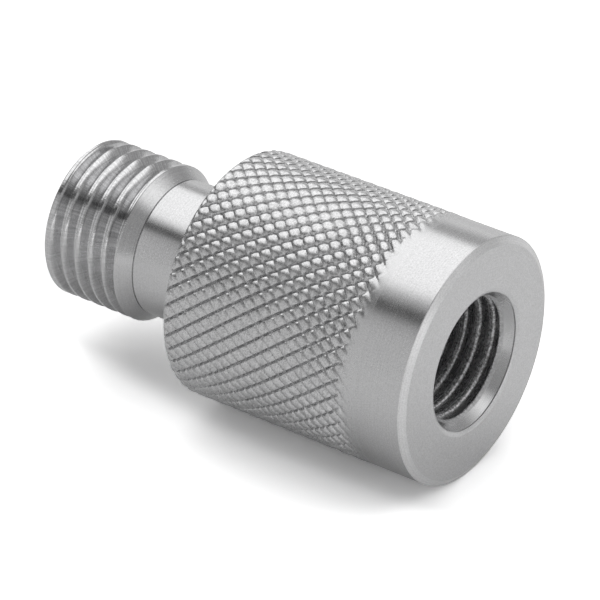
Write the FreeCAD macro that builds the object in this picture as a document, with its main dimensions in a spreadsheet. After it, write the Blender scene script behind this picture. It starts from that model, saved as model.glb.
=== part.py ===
import FreeCAD, Part

import math
import os

import Sketcher

# Test point coupling: a knurled steel body with a threaded port in its head and a threaded stud,
# which holds a spring-loaded valve. Millimetres. The axis is +Z, the origin is the middle of the
# stud's end face, and the port faces up.

# Driving dimensions, as (word, value, what it is).
SIZES = [
    ("OverallLength", 36.7, "stud end to port face"),
    ("HeadLength", 22.2, "shoulder to port face"),
    ("CollarDia", 20.0, "smooth band round the port"),
    ("BandLength", 4.8, "port face to the knurl's end"),
    ("FaceChamferDepth", 0.35, "port face chamfer along the axis"),
    ("FaceChamferWidth", 0.62, "port face chamfer across the radius"),
    ("KnurlRise", 0.06, "knurl's points above the band"),
    ("KnurlDepth", 0.32, "point to valley"),
    ("KnurlSkin", 0.6, "metal from the valleys to the core under the knurl"),
    ("KnurlStarts", 48, "grooves in each of the two crossing sets"),
    ("KnurlRows", 24, "half diamonds along the knurl"),
    ("KnurlStep", 0.02, "fall from the band to the knurl's last row"),
    ("KnurlFade", 0.5, "share of the depth left in the last row but one"),
    ("NeckDia", 11.22, "smooth neck under the head"),
    ("NeckFillet", 0.3, "corner between neck and shoulder"),
    ("StudDia", 12.95, "over the stud's thread"),
    ("StudThreadLength", 7.25, "threaded stretch of the stud"),
    ("StudRunOut", 0.9, "cone from the thread down to the neck"),
    ("StudEndChamfer", 0.25, "chamfer at the stud's end"),
    ("PortRimDia", 11.8, "edge of the port in its face"),
    ("PortMajorDia", 11.11, "major diameter of the port's thread"),
    ("PortMinorDia", 9.9, "bore of the port's thread"),
    ("PortBevelDepth", 0.25, "shallow bevel at the port's edge"),
    ("PortLeadDepth", 0.9, "lead-in cone under the bevel"),
    ("PortDepth", 10.98, "port face to the thread's floor"),
    ("FlareDia", 9.2, "wide end of the flare seat"),
    ("FlareAngle", 37, "flare seat to the axis, degrees"),
    ("ProbeDia", 4.8, "bore that takes the probe"),
    ("ProbeBoreLength", 6.2, "length of the probe's bore"),
    ("SeatHoleDia", 3.2, "hole through the valve seat"),
    ("SeatHoleLength", 1.25, "length of that hole"),
    ("ChamberDia", 7.5, "valve chamber in neck and stud"),
    ("ChamberMouthChamfer", 0.2, "chamfer at the chamber's mouth"),
    ("SealGrooveDia", 7.7, "groove of the probe's seal"),
    ("SealGrooveWidth", 2.8, "width of that groove"),
    ("SealGrooveRise", 1.8, "probe bore's floor to the groove"),
    ("SealWire", 1.5, "section of the probe seal"),
    ("SealPlay", 0.03, "side clearance of a seal in its groove"),
    ("BackupThickness", 1.2, "backup ring along the axis"),
    ("BackupDia", 4.9, "hole of the backup ring"),
    ("RingGrooveDia", 8.2, "groove of the retaining ring"),
    ("RingHeight", 1.2, "stud end to the retaining ring"),
    ("RingThickness", 0.8, "retaining ring along the axis"),
    ("RingHoleDia", 6.4, "hole of the retaining ring"),
    ("RingPlay", 0.05, "clearance of the ring in its groove"),
    ("RingArcAngle", 325, "arc of the retaining ring, degrees"),
    ("SpringSeatThickness", 1.2, "perforated disc under the spring"),
    ("SpringSeatHoleDia", 2.6, "flow hole in that disc"),
    ("SpringSeatNotchDia", 1.6, "flow notches at its rim"),
    ("SpringSeatPlay", 0.05, "clearance of the disc in the chamber"),
    ("SpringWire", 0.7, "wire of the valve spring"),
    ("SpringMeanDia", 5.5, "middle of the wire across the spring"),
    ("SpringTurns", 5.5, "turns of the spring"),
    ("SpringPlay", 0.05, "spring to the poppet's collar"),
    ("PoppetGuideDia", 7.2, "poppet's collar in the chamber"),
    ("PoppetGuideLength", 2.4, "length of that collar"),
    ("PoppetSeatGap", 0.15, "cone to seat, along the axis"),
    ("PoppetSpigotDia", 4.4, "spigot that holds the spring"),
    ("PoppetSpigotLength", 2.0, "length of the spigot"),
    ("PoppetSpigotChamfer", 0.3, "chamfer at the spigot's end"),
    ("PoppetPinDia", 1.8, "pin that the probe pushes"),
    ("PoppetPinHeight", 3.0, "pin above the probe bore's floor"),
    ("PoppetPinChamfer", 0.25, "chamfer at the pin's end"),
    ("PoppetFlatWidth", 5.9, "across the poppet's flow flats"),
    ("PoppetSealWire", 0.9, "section of the poppet's seal"),
    ("PoppetSealContact", 5.1, "diameter where that seal meets the seat"),
    ("PoppetSealGap", 0.05, "seal to seat with the valve closed"),
]

doc = FreeCAD.newDocument("coupling")
sheet = doc.addObject("Spreadsheet::Sheet", "Sizes")


def fill_sheet():
    """Write every driving dimension and the heights worked out from them into the sheet."""
    for row, (word, value, note) in enumerate(SIZES, start=1):
        sheet.set("A%d" % row, word)
        sheet.set("B%d" % row, str(value))
        sheet.set("C%d" % row, note)
        sheet.setAlias("B%d" % row, word)
    first = len(SIZES) + 2
    for row, (word, formula, note) in enumerate(DERIVED, start=first):
        sheet.set("A%d" % row, word)
        sheet.set("B%d" % row, "=" + formula)
        sheet.set("C%d" % row, note)
        sheet.setAlias("B%d" % row, word)
    doc.recompute()


# Heights above the stud's end and radii that follow from the driving dimensions.
DERIVED = [
    ("ShoulderHeight", "OverallLength - HeadLength", "head's underside"),
    ("KnurlTop", "OverallLength - BandLength", "knurl's end at the band"),
    ("KnurlRadius", "CollarDia / 2 + KnurlRise", "over the knurl's points"),
    ("CoreRadius", "KnurlRadius - KnurlDepth - KnurlSkin", "core under the knurl"),
    ("LeadTop", "OverallLength - PortBevelDepth", "lead-in cone's wide end"),
    ("LeadBottom", "LeadTop - PortLeadDepth", "lead-in cone's narrow end"),
    ("PortFloor", "OverallLength - PortDepth", "thread's floor"),
    ("FlareBottom", "PortFloor - (FlareDia - ProbeDia) / 2 / tan(FlareAngle * 1deg)", "flare's end"),
    ("ProbeFloor", "FlareBottom - ProbeBoreLength", "probe bore's floor"),
    ("SeatTop", "ProbeFloor - SeatHoleLength", "narrow end of the valve seat"),
    ("SeatBottom", "SeatTop - (ChamberDia - SeatHoleDia) / 2", "wide end of the valve seat"),
    ("SealGrooveFloor", "ProbeFloor + SealGrooveRise", "seal groove's lower wall"),
    ("RingTop", "RingHeight + RingThickness", "retaining ring's upper face"),
    ("SpringBottom", "RingTop + SpringSeatThickness", "spring's lower end"),
    ("GuideTop", "SeatTop + SeatHoleDia / 2 - PoppetSeatGap - PoppetGuideDia / 2", "collar's top"),
    ("GuideBottom", "GuideTop - PoppetGuideLength", "collar's underside"),
    ("ConeTop", "GuideTop + (PoppetGuideDia - PoppetPinDia) / 2", "cone's narrow end"),
    ("SpringLength", "GuideBottom - SpringPlay - SpringBottom", "spring as fitted"),
    ("PinTop", "ProbeFloor + PoppetPinHeight", "pin's end"),
    ("SealInset", "(PoppetSealWire / 2 + PoppetSealGap) / sqrt(2)", "seal's middle behind the seat"),
    ("PoppetSealRadius", "PoppetSealContact / 2 - SealInset", "middle of the seal's wire"),
    ("PoppetSealHeight", "SeatTop - (PoppetSealContact - SeatHoleDia) / 2 - SealInset", "its height"),
]


def size(word):
    """Value of a named size as a plain number."""
    value = sheet.get(word)
    return float(getattr(value, "Value", value))


def evaluate(formula):
    """Value of a formula on the sheet's words."""
    value = sheet.evalExpression(formula)
    return float(getattr(value, "Value", value))


def sized(text):
    """Put the sheet's name before each of its words, so that another object can read them."""
    words = sorted((row[0] for row in SIZES + DERIVED), key=len, reverse=True)
    for number, word in enumerate(words):
        text = text.replace(word, "<%d>" % number)
    for number, word in enumerate(words):
        text = text.replace("<%d>" % number, "Sizes." + word)
    return text


def bind(feature, **formulas):
    """Tie properties of a feature to formulas on the sheet."""
    for prop, formula in formulas.items():
        feature.setExpression(prop, sized(formula))


def lift(feature, formula):
    """Tie the height of a primitive to a formula."""
    feature.setExpression("Placement.Base.z", sized(formula))


def plane_of(body, role):
    """Origin plane of a body by its role."""
    return next(plane for plane in body.Origin.OriginFeatures if plane.Role == role)


def new_sketch(body, name, role="XZ_Plane", height=None):
    """Sketch on one of the body's own origin planes, raised along its normal if asked."""
    sketch = body.newObject("Sketcher::SketchObject", name)
    sketch.AttachmentSupport = [(plane_of(body, role), "")]
    sketch.MapMode = "FlatFace"
    if height is not None:
        sketch.setExpression("AttachmentOffset.Base.z", sized(height))
    return sketch


def place_point(sketch, line, end, across, along):
    """Hold one end of a line at two formulas, measured from the sketch's origin."""
    for kind, axis, formula in (("DistanceX", -2, across), ("DistanceY", -1, along)):
        if formula == "0":
            sketch.addConstraint(Sketcher.Constraint("PointOnObject", line, end, axis))
            continue
        value = evaluate(formula)
        index = sketch.addConstraint(Sketcher.Constraint(kind, -1, 1, line, end, value))
        sketch.setExpression("Constraints[%d]" % index, sized(formula))


def draw_profile(sketch, corners):
    """Closed outline of straight edges through corners given as (across, along) formulas."""
    points = [FreeCAD.Vector(evaluate(across), evaluate(along), 0) for across, along in corners]
    count = len(points)
    for number in range(count):
        sketch.addGeometry(Part.LineSegment(points[number], points[(number + 1) % count]), False)
    for number in range(count):
        follower = (number + 1) % count
        sketch.addConstraint(Sketcher.Constraint("Coincident", number, 2, follower, 1))
    for number, (across, along) in enumerate(corners):
        place_point(sketch, number, 1, across, along)


def draw_circle(sketch, across, along, radius):
    """Circle whose centre and radius follow formulas."""
    centre = FreeCAD.Vector(evaluate(across), evaluate(along), 0)
    line = sketch.addGeometry(Part.Circle(centre, FreeCAD.Vector(0, 0, 1), evaluate(radius)), False)
    place_point(sketch, line, 3, across, along)
    index = sketch.addConstraint(Sketcher.Constraint("Radius", line, evaluate(radius)))
    sketch.setExpression("Constraints[%d]" % index, sized(radius))


def new_body(label):
    """Body whose label is the node's name."""
    body = doc.addObject("PartDesign::Body", label)
    body.Label = label
    return body


def turn(body, name, kind, sketch, angle="360"):
    """Revolution or groove of a sketch about the part's axis."""
    before = body.Shape.Volume if kind == "Groove" else 0.0
    feature = body.newObject("PartDesign::" + kind, name)
    feature.Profile = sketch
    feature.ReferenceAxis = (sketch, ["V_Axis"])
    bind(feature, Angle=angle)
    sketch.Visibility = False
    doc.recompute()
    if kind == "Groove" and not feature.Shape.Volume < before:
        raise RuntimeError("%s cuts nothing" % name)
    return feature


def pocket_through(body, name, sketch):
    """Pocket of a sketch through the whole body, both ways."""
    before = body.Shape.Volume
    feature = body.newObject("PartDesign::Pocket", name)
    feature.Profile = sketch
    feature.Type = "ThroughAll"
    feature.Midplane = True
    sketch.Visibility = False
    doc.recompute()
    if not feature.Shape.Volume < before:
        raise RuntimeError("%s cuts nothing" % name)
    return feature


def repeat_round(body, name, feature, copies):
    """Polar pattern of a feature about the part's axis."""
    pattern = body.newObject("PartDesign::PolarPattern", name)
    pattern.Originals = [feature]
    pattern.Axis = (next(axis for axis in body.Origin.OriginFeatures if axis.Role == "Z_Axis"), [""])
    pattern.Angle = 360
    pattern.Occurrences = copies
    body.Tip = pattern
    doc.recompute()
    return pattern


def edges_at(shape, height, radius):
    """Names of the whole round edges at a height and radius."""
    names = []
    for number, edge in enumerate(shape.Edges, start=1):
        curve = edge.Curve
        if not hasattr(curve, "Radius"):
            continue
        if abs(curve.Center.z - height) < 1e-4 and abs(curve.Radius - radius) < 1e-4:
            names.append("Edge%d" % number)
    return names


def make_turned_body():
    """The coupling's body as turned, before its knurl is rolled on: blank, port and valve bore."""
    body = new_body("turned_blank")
    outline = new_sketch(body, "BlankOutline")
    draw_profile(outline, [
        ("0", "0"),
        ("StudDia / 2 - StudEndChamfer", "0"),
        ("StudDia / 2", "StudEndChamfer"),
        ("StudDia / 2", "StudThreadLength"),
        ("NeckDia / 2", "StudThreadLength + StudRunOut"),
        ("NeckDia / 2", "ShoulderHeight"),
        ("CoreRadius", "ShoulderHeight"),
        ("CoreRadius", "KnurlTop"),
        ("CollarDia / 2", "KnurlTop"),
        ("CollarDia / 2", "OverallLength - FaceChamferDepth"),
        ("CollarDia / 2 - FaceChamferWidth", "OverallLength"),
        ("0", "OverallLength"),
    ])
    turn(body, "Blank", "Revolution", outline)

    port = new_sketch(body, "PortOutline")
    draw_profile(port, [
        ("0", "FlareBottom"),
        ("ProbeDia / 2", "FlareBottom"),
        ("FlareDia / 2", "PortFloor"),
        ("PortMinorDia / 2", "PortFloor"),
        ("PortMinorDia / 2", "LeadBottom"),
        ("PortMajorDia / 2", "LeadTop"),
        ("PortRimDia / 2", "OverallLength"),
        ("0", "OverallLength"),
    ])
    turn(body, "Port", "Groove", port)

    bore = new_sketch(body, "ValveBoreOutline")
    draw_profile(bore, [
        ("0", "0"),
        ("ChamberDia / 2 + ChamberMouthChamfer", "0"),
        ("ChamberDia / 2", "ChamberMouthChamfer"),
        ("ChamberDia / 2", "SeatBottom"),
        ("SeatHoleDia / 2", "SeatTop"),
        ("SeatHoleDia / 2", "ProbeFloor"),
        ("ProbeDia / 2", "ProbeFloor"),
        ("ProbeDia / 2", "FlareBottom"),
        ("0", "FlareBottom"),
    ])
    turn(body, "ValveBore", "Groove", bore)

    for name, inner, outer, low, high in (
        ("SealGroove", "ProbeDia / 2", "SealGrooveDia / 2", "SealGrooveFloor",
         "SealGrooveFloor + SealGrooveWidth"),
        ("RingGroove", "ChamberDia / 2", "RingGrooveDia / 2", "RingHeight - RingPlay",
         "RingTop + RingPlay"),
    ):
        ring = new_sketch(body, name + "Outline")
        draw_profile(ring, [(inner, low), (outer, low), (outer, high), (inner, high)])
        turn(body, name, "Groove", ring)

    fillet = body.newObject("PartDesign::Fillet", "NeckCorner")
    corner = edges_at(body.Shape, size("ShoulderHeight"), size("NeckDia") / 2)
    fillet.Base = (doc.getObject("RingGroove"), corner)
    bind(fillet, Radius="NeckFillet")
    body.Tip = fillet
    doc.recompute()
    return body


def knurl_radius(turn_index, row, rows):
    """Radius of a knurl point: points and valleys alternate round each row and up each column."""
    point = size("KnurlRadius")
    depth = size("KnurlDepth")
    end = size("CollarDia") / 2 - size("KnurlStep")
    valley = (turn_index + row) % 2 == 1
    if row == rows:
        return end
    if row == rows - 1:
        return end - depth * size("KnurlFade") if valley else end
    return point - depth if valley else point


def make_knurl():
    """Ring of diamond points: two crossing sets of grooves leave rows of four-sided pyramids."""
    starts = int(round(size("KnurlStarts")))
    rows = int(round(size("KnurlRows")))
    low = size("ShoulderHeight")
    high = size("KnurlTop")
    columns = 2 * starts
    grid = []
    for row in range(rows + 1):
        height = low + (high - low) * row / rows
        ring = []
        for column in range(columns):
            angle = math.pi * column / starts
            radius = knurl_radius(column, row, rows)
            ring.append(FreeCAD.Vector(radius * math.cos(angle), radius * math.sin(angle), height))
        grid.append(ring)

    faces = []
    for row in range(rows):
        for column in range(columns):
            beside = (column + 1) % columns
            low_near = grid[row][column]
            low_far = grid[row][beside]
            high_near = grid[row + 1][column]
            high_far = grid[row + 1][beside]
            if (column + row) % 2 == 0:
                triangles = ((low_near, low_far, high_near), (low_far, high_far, high_near))
            else:
                triangles = ((low_near, low_far, high_far), (low_near, high_far, high_near))
            for corners in triangles:
                faces.append(Part.Face(Part.makePolygon(list(corners) + [corners[0]])))

    core = size("CoreRadius")
    for ring, height in ((grid[0], low), (grid[-1], high)):
        outer = Part.makePolygon(ring + [ring[0]])
        inner = Part.Wire(Part.makeCircle(core, FreeCAD.Vector(0, 0, height)))
        end = Part.Face(Part.Face(outer).cut(Part.Face(inner)).Faces[0])
        faces.append(end)
    wall = Part.makeCylinder(core, high - low, FreeCAD.Vector(0, 0, low))
    faces.append(next(face for face in wall.Faces if isinstance(face.Surface, Part.Cylinder)))

    shell = Part.makeShell(faces)
    shell.sewShape()
    solid = Part.makeSolid(shell)
    if solid.Volume < 0:
        solid.reverse()
    ring = doc.addObject("Part::Feature", "knurl_ring")
    ring.Shape = solid
    return ring


def make_coupling_body():
    """The whole turned and knurled body as one piece."""
    blank = make_turned_body()
    knurl = make_knurl()
    whole = doc.addObject("Part::Fuse", "coupling_body")
    whole.Label = "coupling_body"
    whole.Base = blank
    whole.Tool = knurl
    doc.recompute()
    return whole


def make_poppet():
    """Turned valve: a spring spigot, a guide collar with flow flats, the cone and the pin."""
    body = new_body("poppet")
    outline = new_sketch(body, "PoppetOutline")
    draw_profile(outline, [
        ("0", "GuideBottom - PoppetSpigotLength"),
        ("PoppetSpigotDia / 2 - PoppetSpigotChamfer", "GuideBottom - PoppetSpigotLength"),
        ("PoppetSpigotDia / 2", "GuideBottom - PoppetSpigotLength + PoppetSpigotChamfer"),
        ("PoppetSpigotDia / 2", "GuideBottom"),
        ("PoppetGuideDia / 2", "GuideBottom"),
        ("PoppetGuideDia / 2", "GuideTop"),
        ("PoppetPinDia / 2", "ConeTop"),
        ("PoppetPinDia / 2", "PinTop - PoppetPinChamfer"),
        ("PoppetPinDia / 2 - PoppetPinChamfer", "PinTop"),
        ("0", "PinTop"),
    ])
    turn(body, "PoppetBlank", "Revolution", outline)

    groove = new_sketch(body, "PoppetSealGrooveOutline")
    draw_circle(groove, "PoppetSealRadius", "PoppetSealHeight", "PoppetSealWire / 2 + SealPlay")
    turn(body, "PoppetSealGroove", "Groove", groove)

    flat = new_sketch(body, "FlowFlatOutline", "XY_Plane")
    draw_profile(flat, [
        ("PoppetFlatWidth / 2", "-PoppetGuideDia / 2"),
        ("PoppetGuideDia", "-PoppetGuideDia / 2"),
        ("PoppetGuideDia", "PoppetGuideDia / 2"),
        ("PoppetFlatWidth / 2", "PoppetGuideDia / 2"),
    ])
    cut = pocket_through(body, "FlowFlat", flat)
    repeat_round(body, "FlowFlats", cut, 4)
    return body


def make_seal_ring(label, wire, middle, height):
    """Round-section seal lying flat round the axis."""
    ring = doc.addObject("Part::Torus", label)
    ring.Label = label
    bind(ring, Radius1=middle, Radius2=wire + " / 2")
    lift(ring, height)
    return ring


def make_backup_ring():
    """Flat ring between the probe seal and the groove's upper wall."""
    outside = doc.addObject("Part::Cylinder", "BackupOutside")
    bind(outside, Radius="SealGrooveDia / 2 - SealPlay", Height="BackupThickness")
    hole = doc.addObject("Part::Cylinder", "BackupHole")
    bind(hole, Radius="BackupDia / 2", Height="BackupThickness")
    for piece in (outside, hole):
        lift(piece, "SealGrooveFloor + SealGrooveWidth - SealPlay - BackupThickness")
    ring = doc.addObject("Part::Cut", "backup_ring")
    ring.Label = "backup_ring"
    ring.Base = outside
    ring.Tool = hole
    return ring


def make_valve_spring():
    """Compression spring between its seat and the poppet's collar, with its ends ground flat."""
    coil = doc.addObject("Part::Helix", "SpringLine")
    bind(coil, Radius="SpringMeanDia / 2", Height="SpringLength",
         Pitch="SpringLength / SpringTurns")
    lift(coil, "SpringBottom")
    section = doc.addObject("Part::Circle", "SpringSection")
    bind(section, Radius="SpringWire / 2")
    upright = FreeCAD.Rotation(FreeCAD.Vector(1, 0, 0), 90)
    seam_aside = FreeCAD.Rotation(FreeCAD.Vector(0, 0, 1), 45)
    section.Placement.Rotation = upright * seam_aside
    section.setExpression("Placement.Base.x", sized("SpringMeanDia / 2"))
    lift(section, "SpringBottom")
    doc.recompute()
    wire = doc.addObject("Part::Sweep", "SpringWireSweep")
    wire.Sections = [section]
    wire.Spine = (coil, ["Edge1"])
    wire.Solid = True
    wire.Frenet = True
    room = doc.addObject("Part::Cylinder", "SpringRoom")
    bind(room, Radius="SpringMeanDia / 2 + SpringWire", Height="SpringLength")
    lift(room, "SpringBottom")
    spring = doc.addObject("Part::Common", "valve_spring")
    spring.Label = "valve_spring"
    spring.Base = wire
    spring.Tool = room
    doc.recompute()
    return spring


def make_spring_seat():
    """Disc that carries the spring, with a hole and rim notches for the oil."""
    body = new_body("spring_seat")
    outline = new_sketch(body, "SpringSeatOutline")
    draw_profile(outline, [
        ("SpringSeatHoleDia / 2", "RingTop"),
        ("ChamberDia / 2 - SpringSeatPlay", "RingTop"),
        ("ChamberDia / 2 - SpringSeatPlay", "SpringBottom"),
        ("SpringSeatHoleDia / 2", "SpringBottom"),
    ])
    turn(body, "SpringSeatBlank", "Revolution", outline)
    notch = new_sketch(body, "NotchOutline", "XY_Plane")
    draw_circle(notch, "ChamberDia / 2 - SpringSeatPlay", "0", "SpringSeatNotchDia / 2")
    cut = pocket_through(body, "Notch", notch)
    repeat_round(body, "Notches", cut, 4)
    return body


def make_retaining_ring():
    """Open snap ring in its groove near the stud's end."""
    body = new_body("retaining_ring")
    outline = new_sketch(body, "RetainingRingOutline")
    draw_profile(outline, [
        ("RingHoleDia / 2", "RingHeight"),
        ("RingGrooveDia / 2 - RingPlay", "RingHeight"),
        ("RingGrooveDia / 2 - RingPlay", "RingTop"),
        ("RingHoleDia / 2", "RingTop"),
    ])
    turn(body, "RetainingRingBlank", "Revolution", outline, "RingArcAngle")
    return body


def make_parts():
    """Every sub-part, in the order in which the coupling is put together."""
    return [
        make_coupling_body(),
        make_seal_ring("probe_seal", "SealWire", "SealGrooveDia / 2 - SealPlay - SealWire / 2",
                       "SealGrooveFloor + SealPlay + SealWire / 2"),
        make_backup_ring(),
        make_poppet(),
        make_seal_ring("poppet_seal", "PoppetSealWire", "PoppetSealRadius", "PoppetSealHeight"),
        make_valve_spring(),
        make_spring_seat(),
        make_retaining_ring(),
    ]


def check_and_write(parts):
    """Stop on any failed object, then write one file for each sub-part."""
    for item in doc.Objects:
        if "Invalid" in item.State or "Error" in item.State:
            raise RuntimeError("%s failed: %s" % (item.Name, item.State))
    for part in parts:
        shape = part.Shape
        if shape.isNull() or not shape.isValid() or len(shape.Solids) != 1:
            raise RuntimeError("%s is not one sound solid" % part.Label)
    os.makedirs("parts", exist_ok=True)
    for part in parts:
        part.Shape.exportStep("parts/%s.step" % part.Label)
        print("%s volume %.2f mm3, %d faces" % (part.Label, part.Shape.Volume, len(part.Shape.Faces)))


fill_sheet()
finished = make_parts()
doc.recompute()
check_and_write(finished)
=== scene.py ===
"""Looks of the test point coupling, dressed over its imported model.

The part stands on its stud's end with its axis along +Z and its port facing up. Sizes here are in
millimetres, and each mesh is turned into metres as it is made.
"""

import logging
import math
from dataclasses import dataclass
from enum import Enum
from typing import Any, Optional, Sequence, Union

import bmesh
import bpy
from mathutils import Matrix, Vector


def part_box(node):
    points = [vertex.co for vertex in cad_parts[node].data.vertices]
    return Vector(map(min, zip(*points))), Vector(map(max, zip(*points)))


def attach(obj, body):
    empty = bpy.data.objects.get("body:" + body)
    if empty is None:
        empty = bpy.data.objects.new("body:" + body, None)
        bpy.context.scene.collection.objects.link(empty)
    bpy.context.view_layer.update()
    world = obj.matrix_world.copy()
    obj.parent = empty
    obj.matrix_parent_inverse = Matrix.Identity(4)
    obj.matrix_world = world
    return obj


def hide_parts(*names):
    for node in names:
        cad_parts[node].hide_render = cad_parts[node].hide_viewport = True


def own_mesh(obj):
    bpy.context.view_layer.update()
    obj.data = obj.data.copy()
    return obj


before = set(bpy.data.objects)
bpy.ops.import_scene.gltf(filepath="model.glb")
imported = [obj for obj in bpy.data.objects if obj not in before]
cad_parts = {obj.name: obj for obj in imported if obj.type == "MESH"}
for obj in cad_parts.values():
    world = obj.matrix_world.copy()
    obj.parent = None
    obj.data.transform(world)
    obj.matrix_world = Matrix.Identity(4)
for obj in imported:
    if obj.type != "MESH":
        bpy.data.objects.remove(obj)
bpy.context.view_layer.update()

LOG = logging.getLogger("coupling")
METRE = 0.001
TURN = 2 * math.pi

# Detail and roughness of the noise behind fine grain and behind chatter marks.
FINE_NOISE = (3.0, 0.6)
CHATTER_NOISE = (1.0, 0.6)

Colour = tuple[float, float, float]
Point = tuple[float, float, float]
Spot = tuple[float, float]
Ring = list[bmesh.types.BMVert]
Operand = Union["Value", bpy.types.NodeSocket, float, int, tuple]


class Value:
    """A node's output, on which Python's operators add Math nodes."""

    def __init__(self, graph: "Graph", socket: bpy.types.NodeSocket) -> None:
        """Wrap a socket of a graph's tree."""
        self.graph = graph
        self.socket = socket

    def __add__(self, other: Operand) -> "Value":
        """Sum of two values."""
        return self.graph.math("ADD", self, other)

    def __radd__(self, other: Operand) -> "Value":
        """Sum with a number on the left."""
        return self.graph.math("ADD", other, self)

    def __sub__(self, other: Operand) -> "Value":
        """Difference of two values."""
        return self.graph.math("SUBTRACT", self, other)

    def __rsub__(self, other: Operand) -> "Value":
        """Difference from a number on the left."""
        return self.graph.math("SUBTRACT", other, self)

    def __mul__(self, other: Operand) -> "Value":
        """Product of two values."""
        return self.graph.math("MULTIPLY", self, other)

    def __rmul__(self, other: Operand) -> "Value":
        """Product with a number on the left."""
        return self.graph.math("MULTIPLY", other, self)

    def __truediv__(self, other: Operand) -> "Value":
        """Quotient of two values."""
        return self.graph.math("DIVIDE", self, other)

    def __rtruediv__(self, other: Operand) -> "Value":
        """Quotient with a number on the left."""
        return self.graph.math("DIVIDE", other, self)

    def __neg__(self) -> "Value":
        """The value with its sign turned."""
        return self.graph.math("MULTIPLY", self, -1.0)

    def __abs__(self) -> "Value":
        """The value without its sign."""
        return self.graph.math("ABSOLUTE", self)

    def floor(self) -> "Value":
        """Largest whole number below the value."""
        return self.graph.math("FLOOR", self)

    def nearest(self) -> "Value":
        """Whole number nearest to the value."""
        return self.graph.math("ROUND", self)

    def sign(self) -> "Value":
        """1, 0 or -1, by the value's sign."""
        return self.graph.math("SIGN", self)

    def power(self, exponent: Operand) -> "Value":
        """The value raised to a power."""
        return self.graph.math("POWER", self, exponent)

    def sine(self) -> "Value":
        """Sine of an angle in radians."""
        return self.graph.math("SINE", self)

    def cosine(self) -> "Value":
        """Cosine of an angle in radians."""
        return self.graph.math("COSINE", self)

    def least(self, other: Operand, blend: float = 0.0) -> "Value":
        """Smaller of two values.

        Args:
            other: The second value.
            blend: Length over which the corner between them is rounded, or 0 for a sharp one.

        Returns:
            The smaller value.
        """
        if blend:
            return self.graph.math("SMOOTH_MIN", self, other, blend)
        return self.graph.math("MINIMUM", self, other)

    def most(self, other: Operand) -> "Value":
        """Larger of two values."""
        return self.graph.math("MAXIMUM", self, other)

    def ramp(self, low: Operand, high: Operand, smooth: bool = True) -> "Value":
        """Rise from 0 to 1 between two limits.

        Args:
            low: Value at which the rise starts.
            high: Value at which it ends.
            smooth: True for soft ends, False for a straight rise.

        Returns:
            The share between 0 and 1.
        """
        kind = "SMOOTHSTEP" if smooth else "LINEAR"
        sockets = {"Value": self, "From Min": low, "From Max": high}
        node = self.graph.add("ShaderNodeMapRange", {"interpolation_type": kind}, sockets)
        return self.graph.value(node, "Result")


class Graph:
    """Adds nodes to one tree: a material's, the world's or a modifier's."""

    def __init__(self, tree: bpy.types.NodeTree) -> None:
        """Start on a tree."""
        self.tree = tree

    def add(self, kind: str, settings: Optional[dict[str, Any]] = None,
            sockets: Optional[dict[Union[str, int], Operand]] = None) -> bpy.types.Node:
        """Add a node: its settings are made first, then its sockets get their values or links.

        Args:
            kind: Blender's name of the node's type.
            settings: Properties of the node.
            sockets: Values or links, by the socket's name or number.

        Returns:
            The new node.
        """
        node = self.tree.nodes.new(kind)
        for name, value in (settings or {}).items():
            setattr(node, name, value)
        for name, value in (sockets or {}).items():
            self._feed(node.inputs[name], value)
        return node

    def _feed(self, socket: bpy.types.NodeSocket, value: Operand) -> None:
        """Link or set one socket.

        Args:
            socket: The node's input.
            value: A value or an output to link, or a plain value to set.
        """
        if isinstance(value, Value):
            self.tree.links.new(value.socket, socket)
        elif isinstance(value, bpy.types.NodeSocket):
            self.tree.links.new(value, socket)
        elif isinstance(value, tuple) and socket.type == "RGBA" and len(value) == 3:
            socket.default_value = (*value, 1.0)
        else:
            socket.default_value = value

    def value(self, node: bpy.types.Node, name: Union[str, int] = 0) -> Value:
        """Output of a node as a value."""
        return Value(self, node.outputs[name])

    def math(self, operation: str, *operands: Operand) -> Value:
        """Add a Math node for an operation on up to three operands."""
        node = self.add("ShaderNodeMath", {"operation": operation}, dict(enumerate(operands)))
        return self.value(node)

    def vector(self, operation: str, *operands: Operand, scale: Optional[Operand] = None) -> Value:
        """Add a Vector Math node.

        Args:
            operation: Blender's name of the operation.
            operands: Vectors that it works on.
            scale: Factor of the operation SCALE.

        Returns:
            Its vector or, for a measure, its number.
        """
        node = self.add("ShaderNodeVectorMath", {"operation": operation}, dict(enumerate(operands)))
        if scale is not None:
            self._feed(node.inputs["Scale"], scale)
        return self.value(node, "Value" if operation in ("LENGTH", "DOT_PRODUCT") else "Vector")

    def combine(self, across: Operand, deep: Operand, high: Operand) -> Value:
        """Vector from three numbers."""
        return self.value(self.add("ShaderNodeCombineXYZ", None, {0: across, 1: deep, 2: high}))

    def separate(self, vector: Operand) -> tuple[Value, Value, Value]:
        """Three numbers of a vector."""
        node = self.add("ShaderNodeSeparateXYZ", None, {0: vector})
        return tuple(self.value(node, number) for number in range(3))

    def noise(self, place: Operand, detail: float = 2.0, rough: float = 0.5) -> Value:
        """Add a fractal noise.

        Args:
            place: Place, counted in the noise's own cells.
            detail: Number of its finer layers.
            rough: How much each finer layer counts.

        Returns:
            The noise, from 0 to 1.
        """
        sockets = {"Vector": place, "Scale": 1.0, "Detail": detail, "Roughness": rough}
        return self.value(self.add("ShaderNodeTexNoise", {"normalize": True}, sockets), 0)

    def mixed(self, share: Operand, first: Operand, second: Operand) -> Value:
        """Mix two colours.

        Args:
            share: Share of the second colour, from 0 to 1.
            first: Colour at 0.
            second: Colour at 1.

        Returns:
            The mixed colour.
        """
        settings = {"data_type": "RGBA", "clamp_factor": True}
        node = self.add("ShaderNodeMix", settings, {0: share, 6: first, 7: second})
        return self.value(node, 2)


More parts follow.
